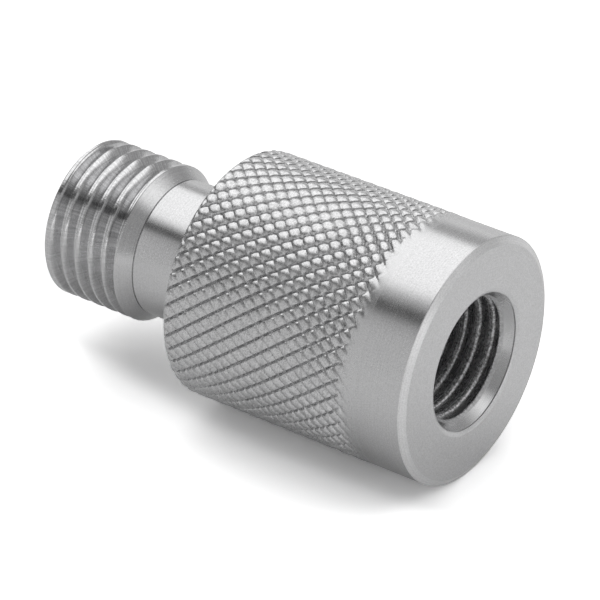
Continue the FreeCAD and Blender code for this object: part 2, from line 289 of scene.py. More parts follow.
class ShapeTree(Graph):
    """A modifier's tree that makes one surface, with named inputs for its sizes."""

    def __init__(self, name: str) -> None:
        """Make an empty tree with a geometry output.

        Args:
            name: Name of the tree and of what it makes.
        """
        tree = bpy.data.node_groups.new(name, "GeometryNodeTree")
        super().__init__(tree)
        tree.interface.new_socket("Geometry", in_out="OUTPUT", socket_type="NodeSocketGeometry")
        self.entry = self.add("NodeGroupInput")
        self.given: dict[str, Any] = {}

    def size(self, name: str, value: Union[float, int]) -> Value:
        """Add a named input for a size and note the value that it gets.

        Args:
            name: The input's name.
            value: Its value, a whole number for a count.

        Returns:
            The input as a value for the tree's nodes.
        """
        kind = "NodeSocketInt" if isinstance(value, int) else "NodeSocketFloat"
        self.tree.interface.new_socket(name, in_out="INPUT", socket_type=kind)
        self.given[name] = value
        return self.value(self.entry, name)

    def strip(self, length: Value, columns: Value, rows: int) -> tuple[Value, Value, Value]:
        """Add a flat strip that is 1 wide and starts at 0 both ways.

        Args:
            length: Its length.
            columns: Faces along it.
            rows: Faces across it.

        Returns:
            The strip, and a corner's place along and across it.
        """
        sheet = self.add("GeometryNodeMeshGrid", None, {
            "Size X": length, "Size Y": 1.0, "Vertices X": columns + 1.0, "Vertices Y": rows + 1,
        })
        x, y, _ = self.separate(self.add("GeometryNodeInputPosition").outputs[0])
        return self.value(sheet), x + length / 2.0, y + 0.5

    def wrap(self, sheet: Operand, angle: Value, reach: Value, height: Value) -> None:
        """Bend a flat sheet round the axis, merge its doubles and give it its material.

        Args:
            sheet: The flat sheet.
            angle: A corner's new angle about the axis.
            reach: Its new distance from the axis, in millimetres.
            height: Its new height, in millimetres.
        """
        self.tree.interface.new_socket("Material", in_out="INPUT", socket_type="NodeSocketMaterial")
        wall = self.combine(angle.cosine() * reach, angle.sine() * reach, height)
        surface = sheet
        for kind, sockets in (
            ("GeometryNodeSetPosition", {"Position": self.vector("SCALE", wall, scale=METRE)}),
            ("GeometryNodeMergeByDistance", {"Distance": Shell.WELD}),
            ("GeometryNodeSetShadeSmooth", {}),
            ("GeometryNodeRealizeInstances", {}),
            ("GeometryNodeSetMaterial", {"Material": self.entry.outputs["Material"]}),
        ):
            surface = self.add(kind, None, {0: surface, **sockets}).outputs[0]
        self.add("NodeGroupOutput", None, {0: surface})

    def mesh(self, material: bpy.types.Material) -> bpy.types.Mesh:
        """Run the tree on an empty object and keep the result as a plain mesh.

        Args:
            material: Material that the tree gives to its faces.

        Returns:
            The finished mesh, in metres.
        """
        name = self.tree.name
        holder = bpy.data.objects.new(name, bpy.data.meshes.new(name))
        bpy.context.scene.collection.objects.link(holder)
        modifier = holder.modifiers.new(name, "NODES")
        modifier.node_group = self.tree
        given = {**self.given, "Material": material}
        for item in self.tree.interface.items_tree:
            if item.in_out == "INPUT":
                modifier[item.identifier] = given[item.name]
        graph = bpy.context.evaluated_depsgraph_get()
        made = bpy.data.meshes.new_from_object(holder.evaluated_get(graph), depsgraph=graph)
        holder.modifiers.clear()
        bpy.data.objects.remove(holder)
        return made


class Finish(Enum):
    """Finishes of the coupling's body, in the order of its material slots."""

    TURNED = 0
    FACED = 1
    ROLLED = 2
    THREADED = 3
    BORED = 4
    EDGED = 5


Profile = list[tuple[float, float, Finish]]


@dataclass(frozen=True)
class Steel:
    """Bare steel as a tool left it.

    Attributes:
        name: Name of the material.
        tone: Grey that the metal reflects.
        roughness: Middle roughness.
        spread: How far the roughness wanders.
        streak: Anisotropy along the tool's path round the axis.
        feed: Distance between tool marks, in millimetres.
        feed_depth: Depth of the tool marks, in millimetres.
        grain: Size of the fine grain, in millimetres.
        grain_depth: Depth of the grain, in millimetres.
        mottle: How far the tone wanders.
        ticks: Depth of the chatter marks along the axis, in millimetres.
        torn: Radius of crests whose edges the tool tore rough, in millimetres, or 0 for none.
        calm: Heights between which the grain dies away, in millimetres, or nothing.
        contrast: How far the darkest and the lightest tone lie from the middle one.
    """

    name: str
    tone: Colour
    roughness: float
    spread: float
    streak: float
    feed: float
    feed_depth: float
    grain: float
    grain_depth: float
    mottle: float
    ticks: float = 0.0
    torn: float = 0.0
    calm: Optional[tuple[float, float]] = None
    contrast: float = 0.18

    # Clouds of tone in a millimetre, and the turn that lays the streaks round the axis.
    CLOUDS = 0.45
    STREAK_TURN = 0.25
    # Chatter marks: cells of noise round the axis, length of a cell, and how they tint the tone.
    CHATTER_CELLS = 45.0
    CHATTER_LENGTH = 3.0
    CHATTER_TINT = 300
    # Torn band: its middle past the crest, its soft edge, and what it adds to depth, tint and
    # roughness.
    TORN_MIDDLE = 0.04
    TORN_EDGE = (0.08, 0.16)
    TORN_DEPTH = 0.020
    TORN_TINT = 4.0
    TORN_ROUGHNESS = 0.3
    # Share of the grain that dies away above the calm heights.
    CALMED = 0.8

    def material(self) -> bpy.types.Material:
        """Build the metal: tool marks run round the axis, and a fine grain lies over them.

        Returns:
            The finished material.
        """
        material, graph = new_material(self.name)
        place = object_place(graph)
        x, y, z = graph.separate(place)
        radius = graph.vector("LENGTH", graph.combine(x, y, 0.0))
        marks = graph.noise(graph.combine(radius / self.feed, z / self.feed, 0.0), *FINE_NOISE)
        grain = graph.noise(graph.vector("SCALE", place, scale=1 / self.grain), *FINE_NOISE)
        cloud = graph.noise(graph.vector("SCALE", place, scale=self.CLOUDS))
        around = graph.combine(x / radius * self.CHATTER_CELLS, y / radius * self.CHATTER_CELLS,
                               z / self.CHATTER_LENGTH)
        chatter = graph.noise(around, *CHATTER_NOISE)
        torn, left = 0.0, 1.0
        if self.torn:
            torn = 1.0 - abs(radius - self.torn - self.TORN_MIDDLE).ramp(*self.TORN_EDGE)
        if self.calm:
            left = 1.0 - z.ramp(*self.calm) * self.CALMED
        depth = (self.grain_depth + torn * self.TORN_DEPTH) * left
        height = marks * self.feed_depth + grain * depth + chatter * self.ticks
        wander = centred(marks + grain + cloud)
        tint = (chatter - 0.5) * (self.ticks * self.CHATTER_TINT)
        speckle = centred(grain * 2.0 + marks) + tint
        strength = (torn * self.TORN_TINT + self.mottle * 2.0) * left
        shader = graph.add("ShaderNodeBsdfPrincipled", None, {
            "Base Color": graph.mixed(speckle * strength + 0.5, *self.shades()),
            "Metallic": 1.0,
            "Roughness": self.roughness + wander * self.spread + torn * self.TORN_ROUGHNESS,
            "Anisotropic": self.streak,
            "Anisotropic Rotation": self.STREAK_TURN,
            "Normal": bumped(graph, height),
        })
        graph.add("ShaderNodeOutputMaterial", None, {"Surface": shader.outputs[0]})
        return material

    def shades(self) -> tuple[Colour, Colour]:
        """Darker and lighter form of the tone, between which it wanders."""
        return tuple(tuple(channel * share for channel in self.tone)
                     for share in (1 - self.contrast, 1 + self.contrast))


@dataclass(frozen=True)
class Moulded:
    """Rubber or plastic as it left its mould.

    Attributes:
        name: Name of the material.
        colour: Middle colour.
        roughness: Middle roughness.
        grain: Size of the grain, in millimetres.
        grain_depth: Depth of the grain, in millimetres.
        mottle: How far the colour wanders.
    """

    name: str
    colour: Colour
    roughness: float
    grain: float
    grain_depth: float
    mottle: float

    # Clouds of colour in a millimetre, and how far the grain moves the roughness.
    CLOUDS = 0.8
    SPREAD = 0.2

    def material(self) -> bpy.types.Material:
        """Build the material with a soft grain and slightly uneven colour.

        Returns:
            The finished material.
        """
        material, graph = new_material(self.name)
        place = object_place(graph)
        grain = graph.noise(graph.vector("SCALE", place, scale=1 / self.grain), *FINE_NOISE)
        cloud = graph.noise(graph.vector("SCALE", place, scale=self.CLOUDS))
        dark = tuple(channel * (1 - self.mottle) for channel in self.colour)
        light = tuple(channel * (1 + self.mottle) for channel in self.colour)
        shader = graph.add("ShaderNodeBsdfPrincipled", None, {
            "Base Color": graph.mixed(cloud, dark, light),
            "Roughness": self.roughness + (grain - 0.5) * self.SPREAD,
            "Normal": bumped(graph, grain * self.grain_depth),
        })
        graph.add("ShaderNodeOutputMaterial", None, {"Surface": shader.outputs[0]})
        return material


def new_material(name: str) -> tuple[bpy.types.Material, Graph]:
    """Make an empty node material.

    Args:
        name: Its name.

    Returns:
        The material and the graph that fills it.
    """
    material = bpy.data.materials.new(name)
    material.use_nodes = True
    material.node_tree.nodes.clear()
    return material, Graph(material.node_tree)


def object_place(graph: Graph) -> Value:
    """Place on the object, in millimetres."""
    coordinates = graph.add("ShaderNodeTexCoord")
    return graph.vector("SCALE", coordinates.outputs["Object"], scale=1 / METRE)


def centred(total: Value, count: int = 3) -> Value:
    """Sum of some noises from 0 to 1, brought to the span from -1 to 1."""
    return total / (count / 2) - 1.0


def bumped(graph: Graph, height: Value) -> Value:
    """Normal of a surface raised by a height in millimetres."""
    node = graph.add("ShaderNodeBump", None, {"Strength": 1.0, "Distance": METRE, "Height": height})
    return graph.value(node)


# Name, tone, roughness, spread, streak, feed, feed depth, grain, grain depth, mottle and ticks.
BODY_FINISHES = {
    Finish.TURNED: Steel("turned_steel", (0.56, 0.56, 0.565), 0.25, 0.10, 0.45,
                         0.11, 0.0008, 0.12, 0.0010, 0.6),
    Finish.FACED: Steel("faced_steel", (0.58, 0.58, 0.585), 0.34, 0.10, 0.2,
                        0.10, 0.0014, 0.11, 0.0018, 0.7),
    Finish.ROLLED: Steel("rolled_steel", (0.56, 0.56, 0.565), 0.27, 0.12, 0.0,
                         0.30, 0.0010, 0.14, 0.0080, 1.6, calm=(30.0, 32.1)),
    Finish.THREADED: Steel("threaded_steel", (0.56, 0.56, 0.565), 0.17, 0.08, 0.3,
                           0.09, 0.0010, 0.12, 0.0006, 0.6, 0.0050),
    Finish.BORED: Steel("bored_steel", (0.53, 0.53, 0.535), 0.27, 0.10, 0.1,
                        0.12, 0.0030, 0.20, 0.0010, 0.25,
                        torn=4.95, calm=(35.45, 35.65), contrast=0.45),
    Finish.EDGED: Steel("edged_steel", (0.67, 0.67, 0.675), 0.31, 0.10, 0.2,
                        0.10, 0.0012, 0.11, 0.0016, 0.7),
}

SPRING_FINISH = Steel("spring_wire", (0.42, 0.42, 0.43), 0.30, 0.10, 0.0,
                      0.20, 0.0008, 0.10, 0.0010, 0.4)

INNER_FINISHES = {
    "poppet": Steel("valve_steel", (0.52, 0.52, 0.53), 0.25, 0.08, 0.3,
                    0.09, 0.0006, 0.12, 0.0006, 0.3),
    "spring_seat": Steel("seat_steel", (0.48, 0.48, 0.49), 0.34, 0.10, 0.1,
                         0.12, 0.0010, 0.12, 0.0010, 0.4),
    "retaining_ring": Steel("ring_steel", (0.36, 0.36, 0.37), 0.33, 0.10, 0.0,
                            0.20, 0.0008, 0.10, 0.0010, 0.4),
    "probe_seal": Moulded("probe_rubber", (0.018, 0.018, 0.019), 0.48, 0.08, 0.003, 0.3),
    "poppet_seal": Moulded("valve_rubber", (0.022, 0.021, 0.021), 0.45, 0.08, 0.002, 0.3),
    "backup_ring": Moulded("backup_plastic", (0.78, 0.78, 0.75), 0.42, 0.15, 0.002, 0.04),
}


@dataclass(frozen=True)
class Knurl:
    """Diamond knurl: two crossing sets of helical grooves, which fade out before the band.

    Attributes:
        radius: Over the diamonds' tops.
        band_radius: Of the smooth band in which the knurl ends.
        low: Height of the shoulder, where the knurl starts.
        high: Height at which its last groove has run out.
        starts: Grooves of each set round the body.
        rise: Grooves of each set for each millimetre along it.
        phase: Place of each set's grooves, in shares of a groove.
        crown: How far a diamond's top falls from its middle towards each set's grooves.
        depth: Depth of each set's grooves below the crowned top.
        edge: Where each set's grooves start, as a share of the way to the groove's middle.
        deepening: Heights between which the second set deepens, and how far.
        fade: Heights between which each set's grooves run out.
        broken: Radius at the shoulder, where the sharp edge is broken.
        unevenness: How far the diamonds' heights wander.
        patch: Distance over which they wander.
        soft: Blend between the broken edge and the diamonds.
        steps: Faces across a diamond each way.
        crowding: Power that moves those faces towards the grooves.
    """

    radius: float = 10.055
    band_radius: float = 10.0
    low: float = 14.5
    high: float = 32.2
    starts: tuple[int, int] = (46, 52)
    rise: tuple[float, float] = (0.600, -0.785)
    phase: tuple[float, float] = (-0.15, -0.15)
    crown: tuple[float, float] = (0.10, 0.04)
    depth: tuple[float, float] = (0.17, 0.06)
    edge: tuple[float, float] = (0.80, 0.45)
    deepening: tuple[float, float, float] = (24.5, 30.0, 0.07)
    fade: tuple[tuple[float, float], tuple[float, float]] = ((30.1, 31.7), (30.6, 32.0))
    broken: float = 9.80
    unevenness: float = 0.04
    patch: float = 0.8
    soft: float = 0.06
    steps: int = 7
    crowding: float = 0.75

    def tree(self) -> ShapeTree:
        """Set one diamond on every crossing and wrap the sheet round the axis.

        Returns:
            The tree, with named inputs for the knurl's sizes.
        """
        shape = ShapeTree("knurled_grip")
        radius = shape.size("Radius", self.radius)
        low = shape.size("Low", self.low)
        high = shape.size("High", self.high)
        starts = [shape.size("Starts %d" % family, float(self.starts[family])) for family in (0, 1)]
        rise = [shape.size("Rise %d" % family, self.rise[family]) for family in (0, 1)]
        along = starts[1] * rise[0] - starts[0] * rise[1]

        sheet = self._diamonds(shape, starts, along, high)
        flat = shape.separate(shape.add("GeometryNodeInputPosition").outputs[0])[:2]
        offset = [spot - spot.nearest() for spot in flat]
        away = [abs(part * 2.0).power(self.crowding) for part in offset]
        place = [flat[family].nearest() + offset[family].sign() * away[family] * 0.5
                 + self.phase[family] for family in (0, 1)]
        height = (starts[1] * place[0] - starts[0] * place[1]) / along
        angle = (place[0] - rise[0] * height) * TURN / starts[0]
        left = [1.0 - height.ramp(*self.fade[family]) for family in (0, 1)]
        crowns = [away[family] * away[family] * left[family] * self.crown[family]
                  for family in (0, 1)]
        deep = (self.depth[0], height.ramp(*self.deepening[:2]) * self.deepening[2] + self.depth[1])
        grooves = [away[family].ramp(self.edge[family], 1.0, smooth=False) * left[family]
                   * deep[family] for family in (0, 1)]

        around = shape.combine(angle.cosine(), angle.sine(), height / radius)
        patch = shape.vector("SCALE", around, scale=radius / self.patch)
        uneven = (shape.noise(patch) - 0.5).least(0.0) * left[1] * self.unevenness
        crest = radius - (1.0 - left[1]) * (self.radius - self.band_radius)
        reach = crest + uneven - crowns[0] - crowns[1] - grooves[0].most(grooves[1])
        reach = reach.least(height - self.low + self.broken, self.soft)
        shape.wrap(sheet, angle, reach, height)
        return shape

    def _diamonds(self, shape: ShapeTree, starts: Sequence[Value], along: Value,
                  high: Value) -> bpy.types.NodeSocket:
        """Set one cell on each crossing of a flat sheet, counted in grooves of the two sets.

        Args:
            shape: The knurl's tree.
            starts: Grooves of each set round the body.
            along: Crossings for each millimetre along it.
            high: Height at which the sheet ends.

        Returns:
            The sheet of cells.
        """
        spare = 1.0
        each = math.ceil((self.starts[1] * self.rise[0] - self.starts[0] * self.rise[1])
                         * (self.high - self.low) / self.starts[0] + 2 * spare + 1)
        number = shape.value(shape.add("GeometryNodeInputIndex"))
        column = (number / float(each) + 0.5 / each).floor()
        step = number - column * float(each)
        first = ((starts[1] * column - along * high) / starts[0]).floor() - spare
        spot = shape.combine(column, first + step, 0.0)
        count = shape.size("Diamonds", self.starts[0] * each)
        points = shape.add("GeometryNodePoints", None, {"Count": count, "Position": spot})
        corners = shape.size("Steps", self.steps) + 1.0
        cell = shape.add("GeometryNodeMeshGrid", None, {
            "Size X": 1.0, "Size Y": 1.0, "Vertices X": corners, "Vertices Y": corners,
        })
        set_out = shape.add("GeometryNodeInstanceOnPoints", None,
                            {"Points": points.outputs[0], "Instance": cell.outputs[0]})
        return shape.add("GeometryNodeRealizeInstances", None, {0: set_out.outputs[0]}).outputs[0]


@dataclass(frozen=True)
class Thread:
    """Right-hand thread between two heights, on the stud's outside or the port's inside.

    Attributes:
        name: Name of the surface.
        pitch: Advance for each turn.
        crest: Radius at the crests.
        root: Radius at the roots.
        crest_share: Share of the pitch that the crest's flat takes.
        root_share: Share of the pitch that the root's flat takes.
        first_crest: Height of a crest's middle on the +X side.
        low: Height at which the surface starts.
        high: Height at which it ends.
        segments: Steps round a turn.
        run_in: Length over which the groove deepens at the lower end.
        run_out: Length over which it runs out at the upper end.
        worn: Rounding of the crest's edges, as a share of the thread's depth.
        stations: Steps across a pitch.
    """

    name: str
    pitch: float
    crest: float
    root: float
    crest_share: float
    root_share: float
    first_crest: float
    low: float
    high: float
    segments: int
    run_in: float
    run_out: float
    worn: float
    stations: int = 16

    def tree(self) -> ShapeTree:
        """Wind one pitch of the profile up the axis.

        Returns:
            The tree, with named inputs for the thread's sizes.
        """
        shape = ShapeTree(self.name)
        pitch = shape.size("Pitch", self.pitch)
        crest = shape.size("Crest radius", self.crest)
        root = shape.size("Root radius", self.root)
        turns = math.ceil((self.high - self.low) / self.pitch) + 2
        rounds = shape.size("Turns", turns)
        segments = shape.size("Segments", self.segments)
        below = math.ceil((self.first_crest - self.low) / self.pitch) + 1
        start = shape.size("Start", self.first_crest - below * self.pitch)
        sheet, turn, share = shape.strip(rounds, rounds * segments, self.stations)
        height = start + (turn + share) * pitch
        away = 0.5 - abs(share - 0.5)
        flank = 0.5 - self.root_share / 2 - self.crest_share / 2
        fall = -((self.crest_share / 2 - away) / flank).least(0.0, self.worn)
        fall = fall.least(1.0)
        share_cut = (height.ramp(self.low, self.low + self.run_in)
                     * (1.0 - height.ramp(self.high - self.run_out, self.high)))
        shape.wrap(sheet, turn * TURN, crest - fall * (crest - root) * share_cut, height)
        return shape


class Shell:
    """One closed skin, put together from surfaces and rings round the axis."""

    # Distance in metres within which corners are one, corners of a ring, angle past which an edge
    # stays sharp, and the angle by which a ring starts past the seam behind the axis.
    WELD = 1e-6
    SEGMENTS = 128
    SHARP = math.radians(39)
    SEAM = 1e-4

    def __init__(self, name: str) -> None:
        """Start an empty skin."""
        self.name = name
        self.mesh = bmesh.new()

    def add(self, surface: bpy.types.Mesh, low: float, high: float, finish: Finish) -> None:
        """Trim a surface to two heights and take it in.

        Args:
            surface: Mesh in metres.
            low: Height of its lower end, in millimetres.
            high: Height of its upper end, in millimetres.
            finish: Finish of its faces.
        """
        part = bmesh.new()
        part.from_mesh(surface)
        for height, up in ((low, -1), (high, 1)):
            bmesh.ops.bisect_plane(part, geom=part.verts[:] + part.edges[:] + part.faces[:],
                                   dist=self.WELD / 2, plane_co=(0, 0, height * METRE),
                                   plane_no=(0, 0, up), clear_outer=True)
        bmesh.ops.remove_doubles(part, verts=part.verts[:], dist=2 * self.WELD)
        trimmed = bpy.data.meshes.new(self.name)
        part.to_mesh(trimmed)
        part.free()
        before = len(self.mesh.faces)
        self.mesh.from_mesh(trimmed)
        self.mesh.faces.ensure_lookup_table()
        for face in self.mesh.faces[before:]:
            face.material_index = finish.value
        bpy.data.meshes.remove(trimmed)

    def edge(self, height: float, reach: float) -> Ring:
        """Open edge of a surface at a height, in order round the axis.

        Args:
            height: Height of the edge, in millimetres.
            reach: Radius near which it runs, in millimetres.

        Returns:
            Its corners, sorted by angle.
        """
        found = [corner for corner in self.mesh.verts
                 if corner.is_boundary
                 and abs(corner.co.z - height * METRE) < 3 * self.WELD
                 and abs(corner.co.xy.length - reach * METRE) < METRE]
        return sorted(found, key=angle_of)

    def ring(self, radius: float, height: float) -> Ring:
        """Add a ring of corners round the axis.

        Args:
            radius: Its radius, in millimetres.
            height: Its height, in millimetres.

        Returns:
            Its corners, sorted by angle.
        """
        corners = []
        for number in range(self.SEGMENTS):
            angle = TURN * number / self.SEGMENTS - math.pi + self.SEAM
            place = (radius * math.cos(angle), radius * math.sin(angle), height)
            corners.append(self.mesh.verts.new(Vector(place) * METRE))
        return corners

    def bridge(self, first: Ring, second: Ring, finish: Finish) -> None:
        """Close the gap between two rings, whatever their counts of corners.

        Args:
            first: Corners of one ring, sorted by angle.
            second: Corners of the other.
            finish: Finish of the faces between them.
        """
        if len(first) == len(second) == self.SEGMENTS:
            for number in range(self.SEGMENTS):
                after = (number + 1) % self.SEGMENTS
                self._face([first[number], first[after], second[after], second[number]], finish)
            return
        near, far = 0, 0
        while near < len(first) or far < len(second):
            if next_angle(first, near) <= next_angle(second, far):
                corners = [first[near], first[(near + 1) % len(first)], second[far % len(second)]]
                near += 1
            else:
                corners = [first[near % len(first)], second[(far + 1) % len(second)], second[far]]
                far += 1
            self._face(corners, finish)

    def _face(self, corners: Ring, finish: Finish) -> None:
        """Add one smooth face.

        Args:
            corners: Its corners, in order.
            finish: Its finish.
        """
        face = self.mesh.faces.new(corners)
        face.smooth = True
        face.material_index = finish.value

    def turned(self, profile: Profile, start: Ring, end: Ring, last: Finish) -> None:
        """Join two rings by a turned profile.

        Args:
            profile: Radius, height and the finish of the wall that leads there, in order.
            start: Ring that the profile starts from.
            end: Ring that it ends on.
            last: Finish of the wall that leads to the end.
        """
        before = start
        for radius, height, finish in profile:
            ring = self.ring(radius, height)
            self.bridge(before, ring, finish)
            before = ring
        self.bridge(before, end, last)

    def finish(self, materials: Sequence[bpy.types.Material]) -> bpy.types.Object:
        """Turn the faces outward and make the piece.

        Args:
            materials: Materials in the order of the finishes.

        Returns:
            The piece, placed in the scene.
        """
        bmesh.ops.recalc_face_normals(self.mesh, faces=self.mesh.faces[:])
        open_edges = sum(1 for edge in self.mesh.edges if not edge.is_manifold)
        LOG.info("%s has %d open edges and %d faces", self.name, open_edges, len(self.mesh.faces))
        mesh = bpy.data.meshes.new(self.name)
        self.mesh.to_mesh(mesh)
        self.mesh.free()
        for material in materials:
            mesh.materials.append(material)
        mesh.set_sharp_from_angle(angle=self.SHARP)
        piece = bpy.data.objects.new(self.name, mesh)
        bpy.context.scene.collection.objects.link(piece)
        return piece


def angle_of(corner: bmesh.types.BMVert) -> float:
    """Angle of a corner about the axis."""
    return math.atan2(corner.co.y, corner.co.x)


def next_angle(ring: Ring, number: int) -> float:
    """Find where a ring's next corner lies.

    Args:
        ring: Corners of the ring, sorted by angle.
        number: How many of them are joined already.

    Returns:
        The next corner's angle, past a whole turn at the ring's end, or infinity after it.
    """
    if number >= len(ring):
        return math.inf
    if number + 1 == len(ring):
        return angle_of(ring[0]) + TURN
    return angle_of(ring[number + 1])


def rounded(before: Spot, corner: Spot, after: Spot, length: float, near: Finish, far: Finish,
            steps: int = 3, flank: float = 1.6) -> Profile:
    """Corner of a profile as a small curve between two narrow rings that keep the walls flat.

    Args:
        before: Radius and height of the point before the corner.
        corner: Radius and height of the corner.
        after: Radius and height of the point after it.
        length: How much of each side the curve takes.
        near: Finish of the wall before the corner.
        far: Finish of the curve and of the wall after it.
        steps: Faces along the curve.
        flank: Distance of the narrow rings from the corner, in lengths of the curve.

    Returns:
        Points of the corner, in order.
    """
    middle = Vector(corner)
    back = (Vector(before) - middle).normalized()
    ahead = (Vector(after) - middle).normalized()
    places = [(middle + back * length * flank, near)]
    for number in range(steps + 1):
        share = number / steps
        place = middle + back * length * (1 - share) ** 2 + ahead * length * share ** 2
        places.append((place, near if number == 0 else far))
    places.append((middle + ahead * length * flank, far))
    return [(place.x, place.y, finish) for place, finish in places]


@dataclass(frozen=True)
class Stud:
    """Threaded stud and the smooth neck above it.

    Attributes:
        radius: Over the thread's crests.
        root: At the thread's roots.
        pitch: Advance of the thread.
        end_radius: Of the stud's flat end.
        chamfer: Height of the chamfer at that end.
        thread_top: Height at which the run-out cone starts.
        neck_radius: Of the neck.
        neck_foot: Height at which the cone meets the neck.
        line: Depth of the fine line between cone and neck, and height over the neck's foot, at
            each of its corners.
        corner: Radius of the corner under the head.
        corner_steps: Faces along that corner.
        mouth: Radius of the chamber's mouth.
        softness: Length that the rounding of an edge takes.
        margin: Distance between the thread and the corners beside it.
    """

    radius: float = 6.45
    root: float = 5.74
    pitch: float = 1.337
    end_radius: float = 6.225
    chamfer: float = 0.225
    thread_top: float = 7.15
    neck_radius: float = 5.61
    neck_foot: float = 8.2
    line: tuple[Spot, ...] = ((0.0, 0.0), (0.10, 0.01), (0.10, 0.11), (0.0, 0.14), (0.0, 0.20))
    corner: float = 0.3
    corner_steps: int = 4
    mouth: float = 3.95
    softness: float = 0.04
    margin: float = 0.08

    def thread(self) -> Thread:
        """Size the stud's thread.

        Returns:
            The thread from the end chamfer to the run-out cone.
        """
        return Thread("stud_thread", self.pitch, self.radius, self.root,
                      crest_share=2 / 12, root_share=2 / 12, first_crest=0.632,
                      low=self.chamfer + self.margin, high=self.thread_top - self.margin,
                      segments=96, run_in=0.45, run_out=0.35, worn=0.10)

    def build(self, shell: Shell, material: bpy.types.Material, shoulder: Ring,
              head_low: float) -> Ring:
        """Add thread, end face, neck and the head's underside.

        Args:
            shell: Skin of the body.
            material: Material of the thread.
            shoulder: Lower edge of the knurl.
            head_low: Height of the head's underside.

        Returns:
            Ring at the chamber's mouth, which the bore closes.
        """
        thread = self.thread()
        shell.add(thread.tree().mesh(material), thread.low, thread.high, Finish.THREADED)
        mouth = shell.ring(self.mouth, 0.0)
        edges = [(self.mouth, 0.0), (self.end_radius, 0.0), (self.radius, self.chamfer),
                 (self.radius, thread.low), (self.radius, self.thread_top),
                 (self.neck_radius, self.neck_foot)]
        end = rounded(*edges[:3], self.softness, Finish.FACED, Finish.THREADED)
        end += rounded(*edges[1:4], self.softness, Finish.THREADED, Finish.THREADED)
        shell.turned(end, mouth, shell.edge(thread.low, self.radius), Finish.THREADED)
        neck = rounded(*edges[3:], self.softness, Finish.THREADED, Finish.TURNED)
        neck += [(self.neck_radius - depth, self.neck_foot + rise, Finish.TURNED)
                 for depth, rise in self.line]
        for number in range(self.corner_steps + 1):
            angle = math.pi / 2 * number / self.corner_steps
            neck.append((self.neck_radius + self.corner * (1 - math.cos(angle)),
                         head_low - self.corner * (1 - math.sin(angle)), Finish.TURNED))
        shell.turned(neck, shell.edge(thread.high, self.radius), shoulder, Finish.FACED)
        return mouth


@dataclass(frozen=True)
class Port:
    """Smooth band, chamfered face, threaded port and the bores under it.

    Attributes:
        band_radius: Of the band.
        face: Height of the port's face.
        chamfer_drop: Face chamfer along the axis.
        chamfer_width: Face chamfer across the radius.
        rim: Radius of the port's edge in its face.
        bevel: Depth of the shallow bevel at that edge.
        step: Height and width of the small step in which the bevel ends.
        major: Radius at the thread's roots.
        minor: Radius at the thread's crests.
        lead: Depth of the lead-in cone.
        pitch: Advance of the thread.
        floor: Height of the thread's floor.
        softness: Length that the rounding of an edge takes.
        margin: Distance between the thread and the cone above it.
        band_rings: Heights above the knurl of the rings that keep the band's shading even.
        bores: Radius and height of each corner under the thread, down to the chamber's mouth,
            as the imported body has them.
    """

    band_radius: float = 10.0
    face: float = 36.7
    chamfer_drop: float = 0.35
    chamfer_width: float = 0.62
    rim: float = 5.9
    bevel: float = 0.25
    step: Spot = (0.09, 0.05)
    major: float = 5.555
    minor: float = 4.95
    lead: float = 0.9
    pitch: float = 1.27
    floor: float = 25.72
    softness: float = 0.04
    margin: float = 0.08
    band_rings: tuple[float, ...] = (0.2, 0.6, 1.0, 1.4, 1.8, 2.2, 2.6, 3.0, 3.4)
    bores: tuple[Spot, ...] = (
        (4.6, 25.72), (2.4, 22.8), (2.4, 21.2), (3.85, 21.2), (3.85, 18.4), (2.4, 18.4),
        (2.4, 16.6), (1.6, 16.6), (1.6, 15.35), (3.75, 13.2), (3.75, 2.05), (4.1, 2.05),
        (4.1, 1.15), (3.75, 1.15), (3.75, 0.2),
    )

    def thread(self) -> Thread:
        """Size the port's thread.

        Returns:
            The thread from its floor to the lead-in cone.
        """
        return Thread("port_thread", self.pitch, self.minor, self.major,
                      crest_share=4 / 12, root_share=2 / 12, first_crest=35.37,
                      low=self.floor, high=self.face - self.bevel - self.lead - self.margin,
                      segments=72, run_in=0.6, run_out=0.2, worn=0.45)

    def build(self, shell: Shell, material: bpy.types.Material, knurl_end: Ring,
              mouth: Ring) -> None:
        """Add band, face, port and bores.

        Args:
            shell: Skin of the body.
            material: Material of the thread.
            knurl_end: Upper edge of the knurl.
            mouth: Ring at the chamber's mouth in the stud's end.
        """
        thread = self.thread()
        shell.add(thread.tree().mesh(material), thread.low, thread.high, Finish.BORED)
        band = (self.band_radius, self.face - self.chamfer_drop)
        chamfer = (self.band_radius - self.chamfer_width, self.face)
        rim = (self.rim, self.face)
        step = (self.major + self.step[1], self.face - self.bevel + self.step[0])
        lead = (self.major, self.face - self.bevel)
        outside = [(self.band_radius, CadHeights.knurl_top + rise, Finish.TURNED)
                   for rise in self.band_rings]
        outside += rounded(outside[-1][:2], band, chamfer, self.softness,
                           Finish.TURNED, Finish.EDGED)
        outside += rounded(band, chamfer, rim, self.softness, Finish.EDGED, Finish.FACED)
        outside += rounded(chamfer, rim, step, 2 * self.softness, Finish.FACED, Finish.FACED)
        outside += [(*step, Finish.FACED), (step[0], lead[1], Finish.FACED),
                    (*lead, Finish.FACED)]
        outside += rounded(lead, (self.minor, lead[1] - self.lead), (self.minor, thread.high),
                           self.softness, Finish.BORED, Finish.BORED)
        shell.turned(outside, knurl_end, shell.edge(thread.high, self.minor), Finish.BORED)
        bores = [(*corner, Finish.BORED) for corner in self.bores]
        shell.turned(bores, shell.edge(self.floor, self.minor), mouth, Finish.BORED)


class CadHeights:
    """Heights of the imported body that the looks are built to."""

    shoulder = 14.5
    knurl_top = 32.2


